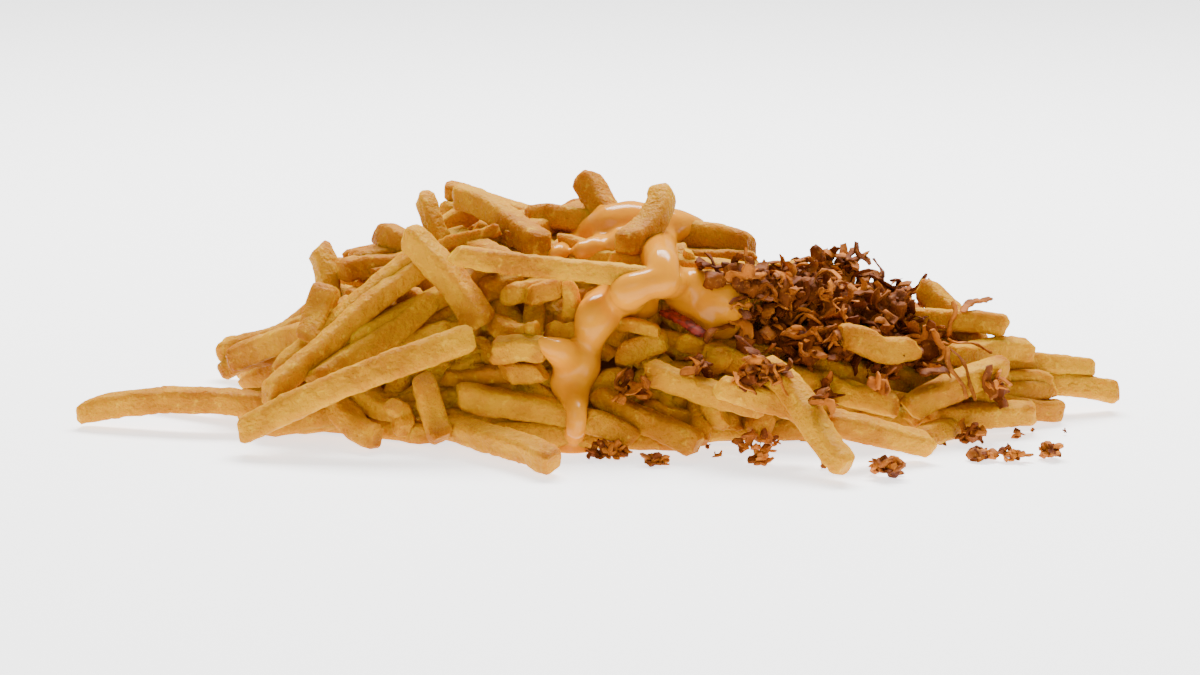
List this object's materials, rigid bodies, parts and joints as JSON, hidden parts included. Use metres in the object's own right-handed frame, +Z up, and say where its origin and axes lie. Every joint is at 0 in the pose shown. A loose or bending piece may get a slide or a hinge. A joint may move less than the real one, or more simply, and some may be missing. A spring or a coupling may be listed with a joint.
{
  "type": "cheese fries",
  "caption": "Heap of golden potato fries with warm cheese sauce run down its middle, crisp fried onions on its right flank and loose onion crumbs in front of it",
  "frame": {"origin": "on the table under the middle of the heap, at the mount base", "axes": "X to the right as seen from the front, Y away from the viewer, Z up"},
  "size_m": [0.2923, 0.168, 0.0676],
  "materials": {
    "potato": "fried potato, satin golden skin",
    "cheese": "warm cheese sauce, glossy orange yellow",
    "fried_onion": "crisp fried onion, brown",
    "red_onion": "fried strip, deep red brown",
    "onion_crumb": "crisp fried onion, brown"
  },
  "bodies": {
    "root": {"fries": "potato", "cheese_sauce": "cheese", "fried_onions": "fried_onion", "red_onion_strip": "red_onion", "onion_crumb_1": "onion_crumb", "onion_crumb_2": "onion_crumb", "onion_crumb_3": "onion_crumb", "onion_crumb_4": "onion_crumb", "onion_crumb_5": "onion_crumb", "onion_crumb_6": "onion_crumb", "onion_crumb_7": "onion_crumb", "onion_crumb_8": "onion_crumb", "onion_crumb_9": "onion_crumb"}
  },
  "joints": []
}
